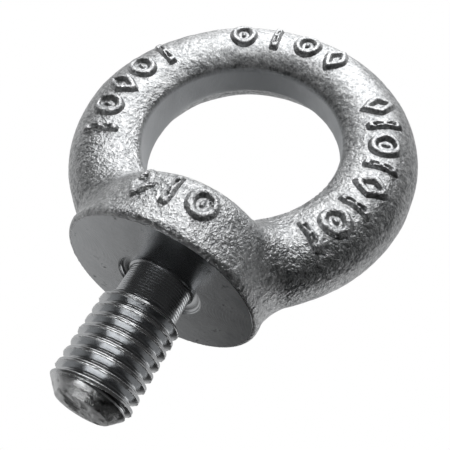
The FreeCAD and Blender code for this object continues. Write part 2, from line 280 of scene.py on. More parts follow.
def threadZinc():
    # zinc-plated die-cut thread: mirror-like dark flanks, torn crest edges painted paler, partly as a painted
    # highlight, and a rough, stained end
    material, tree, shader, where = newMetal("thread_zinc_plated_steel")
    tears = addNode(tree, "ShaderNodeTexNoise", {"Scale": perMm / threadFinish["tears"], "Detail": 4.0,
                                                  "Roughness": 0.65}, {"Vector": where})
    cloud = addNode(tree, "ShaderNodeTexNoise", {"Scale": perMm / threadFinish["cloud"], "Detail": 4.0},
                    {"Vector": where})
    crest = addNode(tree, "ShaderNodeAttribute", {"attribute_name": "crest"}).outputs["Fac"]
    sheared = addNode(tree, "ShaderNodeAttribute", {"attribute_name": "sheared"}).outputs["Fac"]
    torn = addNode(tree, "ShaderNodeMapRange", {"To Min": threadFinish["flankTears"], "To Max": 1.0},
                   {"Value": crest})
    bump = addNode(tree, "ShaderNodeBump", {"Distance": threadFinish["tearDepth"] * mm},
                   {"Height": tears, "Strength": torn})
    # paler colour on the crest edges and the end: torn metal, and on the crest edges partly a painted
    # highlight
    tone = addNode(tree, "ShaderNodeMix", {"data_type": "RGBA", 6: fromHex(threadFinish["flank"]),
                                           7: fromHex(threadFinish["torn"])}, {0: torn})
    stain = addNode(tree, "ShaderNodeMapRange", {"From Min": 0.52, "From Max": 0.62}, {"Value": cloud})
    stain = addNode(tree, "ShaderNodeMath", {"operation": "MULTIPLY"}, {0: stain, 1: sheared})
    colour = addNode(tree, "ShaderNodeMix", {"data_type": "RGBA", 7: fromHex(threadFinish["stain"])},
                     {0: stain, 6: tone.outputs[2]})
    rough = addNode(tree, "ShaderNodeMath", {"operation": "MULTIPLY_ADD", 1: threadFinish["tornRough"],
                                             2: threadFinish["smoothest"]}, {0: torn})
    rough = addNode(tree, "ShaderNodeMath", {"operation": "MULTIPLY_ADD", 1: threadFinish["cloudRough"]},
                    {0: cloud, 2: rough})
    tree.links.new(colour.outputs[2], shader.inputs["Base Color"])
    tree.links.new(rough.outputs[0], shader.inputs["Roughness"])
    tree.links.new(bump.outputs[0], shader.inputs["Normal"])
    return material


forgedSteel, turnedSteel, threadSteel = forgedZinc(), turnedZinc(), threadZinc()
print("materials made")

# the forging: eye and collar in one skin
forging = {
    "thickness": 12.0,        # of the eye, front to back
    "outerTrim": 0.08,        # what the trimming die takes off the outside of the eye
    "trimSway": 0.08,         # how unevenly it does so
    "dieSlip": (0.45, 1.3),   # the back die half sits this far off the front one, inside the eye
    "lean": 0.055,            # the collar leans towards +X by this much of its height
    "landRound": 0.3,         # edges of the sheared bore
    "collarTop": 10.9,
    "shoulderRadius": 13.7,
    "shoulderHeight": 10.5,
    "shoulderRound": 3.0,
    "rimRound": 1.4,          # forged rim that the facing cut runs into
    "rimDrop": 0.2,
    "blend": 5.2,             # sweep from the collar up to the eye
    "pocketRadius": 9.0,      # hidden room for the turned seat
    "pocketHeight": 1.0,
    "voxel": 0.295,
    # (size, height) of the forged unevenness
    "lumps": ((9.0, 0.14), (3.6, 0.06), (1.6, 0.025), (0.7, 0.03)),
    "seed": 11.0,
}
eyeHalf = forging["thickness"] / 2
eyeCentre = boreMount["pos_m"][2] / mm
boreRadius = boreMount["dims"]["r_mm"]
eyeMiddle = eyeHigh[2] - eyeCentre - eyeHalf
eyeDrop = eyeMiddle - boreRadius
landY = boreMount["pos_m"][1] / mm
landHalf = boreMount["dims"]["length_mm"] / 2
rimRadius, rimHeight = seatHigh[0], seatHigh[2]


def arcThrough(edge):
    # circle centred on the section's middle line, through its crown and the edge of the bore
    centre = (eyeHalf ** 2 - edge ** 2 - eyeDrop ** 2) / (2 * (edge - eyeHalf))
    return centre, eyeHalf + centre


frontCentre, frontArc = arcThrough(landHalf - landY)
backCentre, backArc = arcThrough(landHalf + landY)


def roundCut(a, b, r):
    return np.minimum(-r, np.maximum(a, b)) + np.hypot(np.maximum(r + a, 0), np.maximum(r + b, 0))


def roundJoin(a, b, r):
    return np.maximum(r, np.minimum(a, b)) - np.hypot(np.maximum(r - a, 0), np.maximum(r - b, 0))


def eyeDistance(p):
    q = np.hypot(p[:, 0], p[:, 2] - eyeCentre) - eyeMiddle
    turn = np.arctan2(p[:, 2] - eyeCentre, p[:, 0])
    sway = np.sin(turn * 5 + 1.3) * 0.5 + np.sin(turn * 13 + 0.4) * 0.3 + np.sin(turn * 31) * 0.2
    trim = forging["outerTrim"] + forging["trimSway"] * sway
    outside = roundCut(np.hypot(q, p[:, 1]) - eyeHalf, q - eyeHalf + trim, 0.2)
    front = np.hypot(q, p[:, 1] - frontCentre) - frontArc
    shift = np.clip(p[:, 1] / 2, 0, 1)
    shift = shift * shift * (3 - 2 * shift)
    slipX, slipZ = forging["dieSlip"]
    qBack = np.hypot(p[:, 0] - slipX * shift, p[:, 2] - eyeCentre - slipZ * shift) - eyeMiddle
    back = np.hypot(np.minimum(qBack, 0), p[:, 1] + backCentre) - backArc
    inside = roundCut(np.where(p[:, 1] < 0, front, back), -eyeDrop - q, forging["landRound"])
    return np.where(q > 0, outside, inside)


def collarDistance(p):
    z = p[:, 2]
    r = np.hypot(p[:, 0] - forging["lean"] * z, p[:, 1])
    run = np.array((forging["shoulderRadius"] - rimRadius, forging["shoulderHeight"] - rimHeight))
    run = run / np.hypot(*run)
    side = (r - rimRadius) * run[1] - (z - rimHeight) * run[0]
    upper = roundCut(side, z - forging["collarTop"], forging["shoulderRound"])
    return roundCut(upper, -forging["rimDrop"] - z, forging["rimRound"])


def slope(distance, p, step=0.02):
    result = np.stack([distance(p + step * axis) - distance(p - step * axis) for axis in np.eye(3)], 1)
    return result / np.maximum(np.linalg.norm(result, axis=1), 1e-9)[:, None]


def forgedDistance(p):
    agree = (slope(eyeDistance, p) * slope(collarDistance, p)).sum(1)
    blend = forging["blend"] * np.clip(1 - agree, 0.02, 1)
    joined = roundJoin(eyeDistance(p), collarDistance(p), blend)
    q = np.hypot(p[:, 0], p[:, 2] - eyeCentre) - boreRadius
    # the bore is sheared through, but the sweep in front of it stays
    joined = roundCut(joined, np.minimum(-q, p[:, 1] - landY + landHalf + 0.2), 0.1)
    joined = np.maximum(joined, 0.04 - p[:, 2])
    pocket = np.maximum(np.hypot(p[:, 0], p[:, 1]) - forging["pocketRadius"],
                        p[:, 2] - forging["pocketHeight"])
    return np.maximum(joined, -pocket)


def ontoSkin(p, rounds):
    for _ in range(rounds):
        p = p - slope(forgedDistance, p) * forgedDistance(p)[:, None]
    return p


def makeForging():
    # two rough solids, remeshed as one and then drawn onto the exact forged shape
    circle = [(eyeMiddle + 5.8 * math.cos(a), 5.8 * math.sin(a)) for a in np.arange(24) * math.pi / 12]
    ring = turnedMesh("ring", circle, 180)
    ring.transform(Matrix.Translation((0, 0, eyeCentre * mm)) @ Matrix.Rotation(math.pi / 2, 4, "X"))
    top, pocket, high = forging["collarTop"] - 0.3, forging["pocketRadius"], forging["pocketHeight"]
    body = turnedMesh("body", ((0, top), (11.5, top), (13.8, top - 2.2), (15, 1.2), (14.4, 0.1),
                               (pocket, 0.1), (pocket, high), (0, high)), 120)
    builder = bmesh.new()
    builder.from_mesh(ring)
    builder.from_mesh(body)
    rough = bpy.data.meshes.new("rough")
    builder.to_mesh(rough)
    builder.free()
    draft = newPiece("draft", rough)
    remesh = draft.modifiers.new("remesh", "REMESH")
    remesh.mode, remesh.voxel_size, remesh.adaptivity = "VOXEL", forging["voxel"] * mm, 0
    mesh = plainMesh(draft, "forged_eye_and_collar")
    bpy.data.objects.remove(draft)

    points = np.zeros(len(mesh.vertices) * 3)
    mesh.vertices.foreach_get("co", points)
    points = ontoSkin(points.reshape(-1, 3) / mm, 3)
    edges = np.zeros(len(mesh.edges) * 2, int)
    mesh.edges.foreach_get("vertices", edges)
    edges = edges.reshape(-1, 2)
    count = np.bincount(edges.ravel(), minlength=len(points))[:, None]
    for _ in range(3):        # evens the spacing
        total = np.stack([np.bincount(edges[:, 0], points[edges[:, 1], i], len(points))
                          + np.bincount(edges[:, 1], points[edges[:, 0], i], len(points))
                          for i in range(3)], 1)
        points = ontoSkin(points + 0.6 * (total / count - points), 1)

    q = np.hypot(points[:, 0], points[:, 2] - eyeCentre) - boreRadius
    trimmed = np.clip(1 - (q - 0.05) / 0.25, 0, 1)
    outward = slope(forgedDistance, points)
    shift = np.zeros(len(points))
    start = Vector((forging["seed"], -forging["seed"], 2 * forging["seed"]))
    for i, point in enumerate(points.tolist()):
        here = Vector(point)
        shift[i] = sum(high * noise.noise(here / size + start) for size, high in forging["lumps"])
    shift *= 1 - 0.6 * trimmed
    nearSeat = np.clip((points[:, 2] - 0.1) / 0.8, 0, 1)
    points = points + outward * (shift * nearSeat)[:, None]
    mesh.vertices.foreach_set("co", (points * mm).ravel())
    mesh.attributes.new("trimmed", "FLOAT", "POINT").data.foreach_set("value", trimmed)
    mesh.update()
    return newPiece("forged_eye_and_collar", mesh, forgedSteel)


forgedEye = makeForging()
print("forging drawn")

# raised marks, struck by the die, each a plain generic shape
marks = {
    "rise": 0.66,             # height over the skin, mm
    "sink": 0.35,             # and how far the patch around a mark lies below it
    "stroke": 1.25,
    "edge": 0.44,             # half the width of the slope at a stroke's edge
    "patch": (5.9, 7.6),      # each mark is cut from a patch of this width and height
    "outward": 0.35,          # the rows stand this far outside the middle of the eye's section
    "spacing": 0.17,
    "waver": 0.352,           # how far an outline sways, mm
    "seed": 5,
    "shapes": {               # half width, half height, and squareness of the outline
                  "bar": (0.7, 2.75, 7.0), "disc": (2.3, 2.6, 2.0), "lozenge": (2.05, 2.95, 1.25)},
    "eyeRows": (
        (203.5, -13.0, ("bar", "disc", "lozenge", "disc", "bar")),
        (114.5, -14.7, ("disc", "bar", "disc", "lozenge")),
        (37.8, -10.9, ("lozenge", "bar", "disc", "bar", "lozenge", "bar", "disc", "bar")),
    ),
    "collarRow": (-108.0, 18.0, ("lozenge", "bar", "disc")),
    "collarHeight": 6.4,
}


def markTree():
    tree, values = newTree("raised_marks", "Marks", (
        ("Points", "Geometry"), ("Skin", "Object"), ("Patch Width", "Float"), ("Patch Height", "Float"),
        ("Spacing", "Float"), ("Rise", "Float"), ("Sink", "Float"), ("Stroke", "Float"), ("Edge", "Float"),
        ("Waver", "Float"), ("Seed", "Int"), ("Material", "Material")))

    # a flat patch in mm, its own position kept as an attribute
    for name, operation, *terms in (("across", "DIVIDE", "Patch Width", "Spacing"),
                                    ("up", "DIVIDE", "Patch Height", "Spacing")):
        linked = {i: values.get(term, term) for i, term in enumerate(terms)}
        values[name] = addNode(tree, "ShaderNodeMath", {"operation": operation}, linked).outputs[0]
    size = addNode(tree, "ShaderNodeCombineXYZ", {2: 1.0},
                   {0: values["Patch Width"], 1: values["Patch Height"]})
    patch = addNode(tree, "GeometryNodeMeshCube", {"Vertices Z": 2},
                    {"Size": size, "Vertices X": values["across"], "Vertices Y": values["up"]})
    place = addNode(tree, "GeometryNodeInputPosition")
    patch = addNode(tree, "GeometryNodeStoreNamedAttribute", {"data_type": "FLOAT_VECTOR", "Name": "flat"},
                    {"Geometry": patch, "Value": place})
    turn = addNode(tree, "GeometryNodeInputNamedAttribute", {"data_type": "FLOAT_VECTOR", "Name": "turn"})
    rows = addNode(tree, "GeometryNodeInstanceOnPoints", {"Scale": (mm, mm, mm)},
                   {"Points": values["Points"], "Instance": patch, "Rotation": turn})
    rows = addNode(tree, "GeometryNodeRealizeInstances", links={"Geometry": rows})

    # distance from the outline of a rounded shape: half width, half height and how square it is
    flat = addNode(tree, "GeometryNodeInputNamedAttribute", {"data_type": "FLOAT_VECTOR", "Name": "flat"})
    parts = addNode(tree, "ShaderNodeSeparateXYZ", links={0: flat})
    values.update(u=parts.outputs[0], v=parts.outputs[1], side=parts.outputs[2])
    for name in ("halfWide", "halfHigh", "square"):
        values[name] = addNode(tree, "GeometryNodeInputNamedAttribute",
                               {"data_type": "FLOAT", "Name": name}).outputs[0]
    for name, offset in (("swayU", 0.0), ("swayV", 40.0)):
        there = addNode(tree, "ShaderNodeVectorMath", {"operation": "MULTIPLY_ADD", 1: (perMm, perMm, perMm),
                                                       2: (offset, offset, offset)}, {0: place})
        values[name] = addNode(tree, "ShaderNodeTexNoise",
                               {"noise_dimensions": "4D", "Scale": 0.8, "Detail": 3.0},
                               {"Vector": there, "W": values["Seed"]}).outputs[0]
    for name, operation, *terms in (
        ("swayU", "SUBTRACT", "swayU", 0.5), ("swayU", "MULTIPLY", "swayU", "Waver"),
        ("swayV", "SUBTRACT", "swayV", 0.5), ("swayV", "MULTIPLY", "swayV", "Waver"),
        ("u", "ADD", "swayU", "u"), ("v", "ADD", "swayV", "v"),
        ("a", "ABSOLUTE", "u"), ("a", "DIVIDE", "a", "halfWide"),
        ("b", "ABSOLUTE", "v"), ("b", "DIVIDE", "b", "halfHigh"),
        ("aPower", "POWER", "a", "square"), ("bPower", "POWER", "b", "square"),
        ("sum", "ADD", "aPower", "bPower"),
        ("inverse", "DIVIDE", 1.0, "square"), ("size", "POWER", "sum", "inverse"),
        ("size", "MAXIMUM", "size", 0.02),
        ("less", "SUBTRACT", "square", 1.0),
        ("slopeU", "DIVIDE", "a", "size"), ("slopeU", "POWER", "slopeU", "less"),
        ("slopeU", "DIVIDE", "slopeU", "halfWide"), ("slopeU", "POWER", "slopeU", 2.0),
        ("slopeV", "DIVIDE", "b", "size"), ("slopeV", "POWER", "slopeV", "less"),
        ("slopeV", "DIVIDE", "slopeV", "halfHigh"), ("slopeV", "POWER", "slopeV", 2.0),
        ("slope", "ADD", "slopeU", "slopeV"), ("slope", "SQRT", "slope"),
        ("out", "SUBTRACT", "size", 1.0), ("out", "DIVIDE", "out", "slope"),
        # up over the outline, part of the way down again inside the stroke, and up to a dot in the middle
        ("inner", "ADD", "out", "Stroke"), ("dot", "MULTIPLY_ADD", "Stroke", 1.5, "out"),
        ("edgeLow", "MULTIPLY", "Edge", -1.0),
    ):
        linked = {i: values.get(term, term) for i, term in enumerate(terms)}
        values[name] = addNode(tree, "ShaderNodeMath", {"operation": operation}, linked).outputs[0]
    for name, source, low, high in (("climb", "out", 1.0, 0.0), ("dip", "inner", 0.25, 1.0),
                                    ("dot", "dot", 0.7, 0.0)):
        values[name] = addNode(tree, "ShaderNodeMapRange",
                               {"interpolation_type": "SMOOTHSTEP", "To Min": low, "To Max": high},
                               {"Value": values[source], "From Min": values["edgeLow"],
                                "From Max": values["Edge"]}).outputs[0]
    for name, operation, *terms in (
        ("dip", "MAXIMUM", "dip", "dot"), ("high", "MULTIPLY", "climb", "dip"),
        ("total", "ADD", "Rise", "Sink"),
        ("high", "MULTIPLY", "high", "total"), ("high", "SUBTRACT", "high", "Sink"),
        ("top", "GREATER_THAN", "side", 0.0), ("high", "MULTIPLY", "high", "top"),
        # the patch's underside stays well inside the metal
        ("under", "SUBTRACT", "top", 1.0), ("high", "MULTIPLY_ADD", "under", 0.9, "high"),
        ("high", "MULTIPLY", "high", -mm),
    ):
        linked = {i: values.get(term, term) for i, term in enumerate(terms)}
        values[name] = addNode(tree, "ShaderNodeMath", {"operation": operation}, linked).outputs[0]

    # every point looks along its patch for the skin, and stands above the place that it meets
    look = addNode(tree, "GeometryNodeInputNamedAttribute", {"data_type": "FLOAT_VECTOR", "Name": "look"})
    start = addNode(tree, "ShaderNodeVectorMath", {"operation": "MULTIPLY_ADD", 1: (-12 * mm,) * 3},
                    {0: look, 2: place})
    skin = addNode(tree, "GeometryNodeObjectInfo", links={"Object": values["Skin"]})
    hit = addNode(tree, "GeometryNodeRaycast", {"Ray Length": 50 * mm},
                  {"Target Geometry": skin.outputs["Geometry"], "Source Position": start,
                   "Ray Direction": look})
    lift = addNode(tree, "ShaderNodeVectorMath", {"operation": "SCALE"}, {0: look, "Scale": values["high"]})
    spot = addNode(tree, "ShaderNodeVectorMath", {"operation": "ADD"},
                   {0: lift, 1: hit.outputs["Hit Position"]})
    rows = addNode(tree, "GeometryNodeSetPosition", links={"Geometry": rows, "Position": spot,
                                                           "Selection": hit.outputs["Is Hit"]})
    rows = addNode(tree, "GeometryNodeRealizeInstances", links={"Geometry": rows})
    rows = addNode(tree, "GeometryNodeSetMaterial", links={"Geometry": rows, "Material": values["Material"]})
    addNode(tree, "NodeGroupOutput", links={"Marks": rows})
    return tree


def runNodes(piece, tree, inputs):
    # gives a Geometry Nodes modifier its inputs by identifier, and returns the plain mesh it makes
    modifier = piece.modifiers.new(tree.name, "NODES")
    modifier.node_group = tree
    for item in tree.interface.items_tree:
        if item.item_type == "SOCKET" and item.in_out == "INPUT" and item.name in inputs:
            modifier[item.identifier] = inputs[item.name]
    mesh = plainMesh(piece, piece.name)
    bpy.data.objects.remove(piece)
    return mesh


def makeMarks(name, seats, tree, seed):
    # seats: (centre in mm, direction along the row, direction into the metal, shape)
    mesh = bpy.data.meshes.new(name)
    mesh.from_pydata([tuple(c * mm for c in centre) for centre, *_ in seats], [], [])
    turns, looks = [], []
    for centre, along, into, shape in seats:
        along, into = Vector(along).normalized(), Vector(into).normalized()
        rising = along.cross(into)
        turns += Matrix((along, rising, -into)).transposed().to_euler()[:]
        looks += into[:]
    shapes = [marks["shapes"][seat[3]] for seat in seats]
    mesh.attributes.new("turn", "FLOAT_VECTOR", "POINT").data.foreach_set("vector", turns)
    mesh.attributes.new("look", "FLOAT_VECTOR", "POINT").data.foreach_set("vector", looks)
    for i, key in enumerate(("halfWide", "halfHigh", "square")):
        mesh.attributes.new(key, "FLOAT", "POINT").data.foreach_set("value", [shape[i] for shape in shapes])
    mesh = runNodes(newPiece(name, mesh, smooth=False), tree, {
        "Skin": forgedEye, "Patch Width": marks["patch"][0], "Patch Height": marks["patch"][1],
        "Spacing": marks["spacing"], "Rise": marks["rise"], "Sink": marks["sink"], "Stroke": marks["stroke"],
        "Edge": marks["edge"], "Waver": marks["waver"], "Seed": seed, "Material": forgedSteel})
    for key in ("turn", "look", "flat", "halfWide", "halfHigh", "square"):
        if key in mesh.attributes:
            mesh.attributes.remove(mesh.attributes[key])
    return newPiece(name, mesh, forgedSteel)


eyeSeats, collarSeats = [], []
for first, step, kinds in marks["eyeRows"]:
    for i, kind in enumerate(kinds):
        a = math.radians(first + i * step)
        reach = eyeMiddle + marks["outward"]
        centre = (reach * math.cos(a), -eyeHalf, eyeCentre + reach * math.sin(a))
        eyeSeats.append((centre, (math.sin(a), 0, -math.cos(a)), (0, 1, 0), kind))
first, step, kinds = marks["collarRow"]
for i, kind in enumerate(kinds):
    a = math.radians(first + i * step)
    centre = (rimRadius * math.cos(a), rimRadius * math.sin(a), marks["collarHeight"])
    collarSeats.append((centre, (-math.sin(a), math.cos(a), 0), (-math.cos(a), -math.sin(a), 0), kind))
marksTree = markTree()
eyeMarks = makeMarks("raised_eye_marks", eyeSeats, marksTree, marks["seed"])
collarMarks = makeMarks("raised_collar_marks", collarSeats, marksTree, marks["seed"] + 1)
print("marks raised")

# turned seat
seat = {
    "recessRadius": 6.4,
    "recessDepth": 0.5,
    "neckRadius": 4.75,
    "cornerRound": 0.42,
    "neckRound": 0.6,
    "edgeRadius": 14.43,
    "steps": 224,
}


def makeSeat():
    r, d, inner = seat["recessRadius"], seat["recessDepth"], seat["neckRadius"]
    lip = [(r + 0.12 * (1 - math.sin(a)), 0.12 * (1 - math.cos(a))) for a in np.linspace(math.pi / 2, 0, 4)]
    corner = [(r - seat["cornerRound"] * (1 - math.cos(a)), d - seat["cornerRound"] * (1 - math.sin(a)))
              for a in np.linspace(math.pi / 2, 0, 9)]
    face = [(x, 0.0) for x in np.linspace(r + 0.3, seat["edgeRadius"] - 0.01, 16)]
    edge = [(seat["edgeRadius"], 0.0), (seat["edgeRadius"], 0.3), (seat["edgeRadius"] - 1, 0.9)]
    profile = [(inner - 0.8, d)] + corner + lip + face + edge + [(inner - 0.8, 0.9)]
    return newPiece("turned_seat_face", turnedMesh("turned_seat_face", profile, seat["steps"]), turnedSteel)


turnedSeat = makeSeat()

# turned neck between seat and thread: fine rings left by the tool
neck = {
    "radius": seat["neckRadius"],
    "top": seat["recessDepth"] + 0.05,
    "bottom": threadTop - 0.15,
    "flare": seat["neckRound"],
    "ringPitch": 0.42,
    "ringDepth": 0.12,
    "rows": 130,
    "steps": 128,
    "seed": 3,
}


def neckTree():
    tree, values = newTree("turned_neck", "Neck", (
        ("Geometry", "Geometry"), ("Radius", "Float"), ("Top", "Float"), ("Bottom", "Float"),
        ("Flare", "Float"),
        ("Ring Pitch", "Float"), ("Ring Depth", "Float"), ("Rows", "Int"), ("Steps", "Int"), ("Seed", "Int"),
        ("Material", "Material")))
    tube = addNode(tree, "GeometryNodeMeshCylinder", {"fill_type": "NGON", "Radius": 1.0, "Depth": 1.0},
                   {"Vertices": values["Steps"], "Side Segments": values["Rows"]})
    place = addNode(tree, "GeometryNodeInputPosition")
    parts = addNode(tree, "ShaderNodeSeparateXYZ", links={0: place})
    values.update(x=parts.outputs[0], y=parts.outputs[1], t=parts.outputs[2])
    values["wander"] = addNode(tree, "ShaderNodeTexNoise",
                               {"noise_dimensions": "4D", "Scale": 3.0, "Detail": 2.0},
                               {"Vector": place, "W": values["Seed"]}).outputs[0]
    for name, operation, *terms in (
        ("t", "ADD", "t", 0.5), ("length", "SUBTRACT", "Top", "Bottom"),
        ("z", "MULTIPLY_ADD", "t", "length", "Bottom"),
        # rings with flat sides, a little uneven all round
        ("turn", "DIVIDE", "z", "Ring Pitch"), ("turn", "MULTIPLY_ADD", "wander", 0.6, "turn"),
        ("groove", "FRACT", "turn"), ("groove", "SUBTRACT", "groove", 0.5), ("groove", "ABSOLUTE", "groove"),
        ("groove", "MULTIPLY", "groove", 2.0), ("groove", "MULTIPLY", "groove", "Ring Depth"),
        ("r", "SUBTRACT", "Radius", "groove"),
        # a quarter circle out into the recess
        ("gap", "SUBTRACT", "Top", "z"), ("gap", "SUBTRACT", "Flare", "gap"), ("gap", "MAXIMUM", "gap", 0.0),
        ("gap", "MINIMUM", "gap", "Flare"), ("a", "POWER", "gap", 2.0), ("b", "POWER", "Flare", 2.0),
        ("b", "SUBTRACT", "b", "a"), ("b", "MAXIMUM", "b", 0.0), ("b", "SQRT", "b"),
        ("b", "SUBTRACT", "Flare", "b"),
        ("r", "ADD", "r", "b"), ("r", "MULTIPLY", "r", mm), ("z", "MULTIPLY", "z", mm),
        ("x", "MULTIPLY", "x", "r"), ("y", "MULTIPLY", "y", "r"),
    ):
        linked = {i: values.get(term, term) for i, term in enumerate(terms)}
        values[name] = addNode(tree, "ShaderNodeMath", {"operation": operation}, linked).outputs[0]
    spot = addNode(tree, "ShaderNodeCombineXYZ", links={0: values["x"], 1: values["y"], 2: values["z"]})
    tube = addNode(tree, "GeometryNodeSetPosition", links={"Geometry": tube, "Position": spot})
    tube = addNode(tree, "GeometryNodeRealizeInstances", links={"Geometry": tube})
    tube = addNode(tree, "GeometryNodeSetMaterial", links={"Geometry": tube, "Material": values["Material"]})
    addNode(tree, "NodeGroupOutput", links={"Neck": tube})
    return tree


neckMesh = runNodes(newPiece("neck", bpy.data.meshes.new("neck")), neckTree(), {
    "Radius": neck["radius"], "Top": neck["top"], "Bottom": neck["bottom"], "Flare": neck["flare"],
    "Ring Pitch": neck["ringPitch"], "Ring Depth": neck["ringDepth"], "Rows": neck["rows"],
    "Steps": neck["steps"], "Seed": neck["seed"], "Material": turnedSteel})
turnedNeck = newPiece("turned_neck_rings", neckMesh, turnedSteel)
print("seat and neck turned")

# thread, one helical surface down to the end of the shank
thread = {
    "pitch": 1.75,
    "depth": 0.98,
    "crestFlat": 1 / 4,       # as a part of the pitch
    "rootFlat": 1 / 8,
    "burr": 0.1,              # torn lip along the lower edge of each crest
    "phase": 0.08,          # height of a crest where it crosses +X
    "top": threadTop,
    "topRadius": seat["neckRadius"] - 0.05,
    "topRun": 0.8,
    "tipRadius": 3.95,
    "tipRun": 1.95,
    "crown": 0.25,            # dome of the end
    "rowsPerTurn": 32,
    "steps": 144,
    "roughness": 0.1,
    "seed": 9,
}


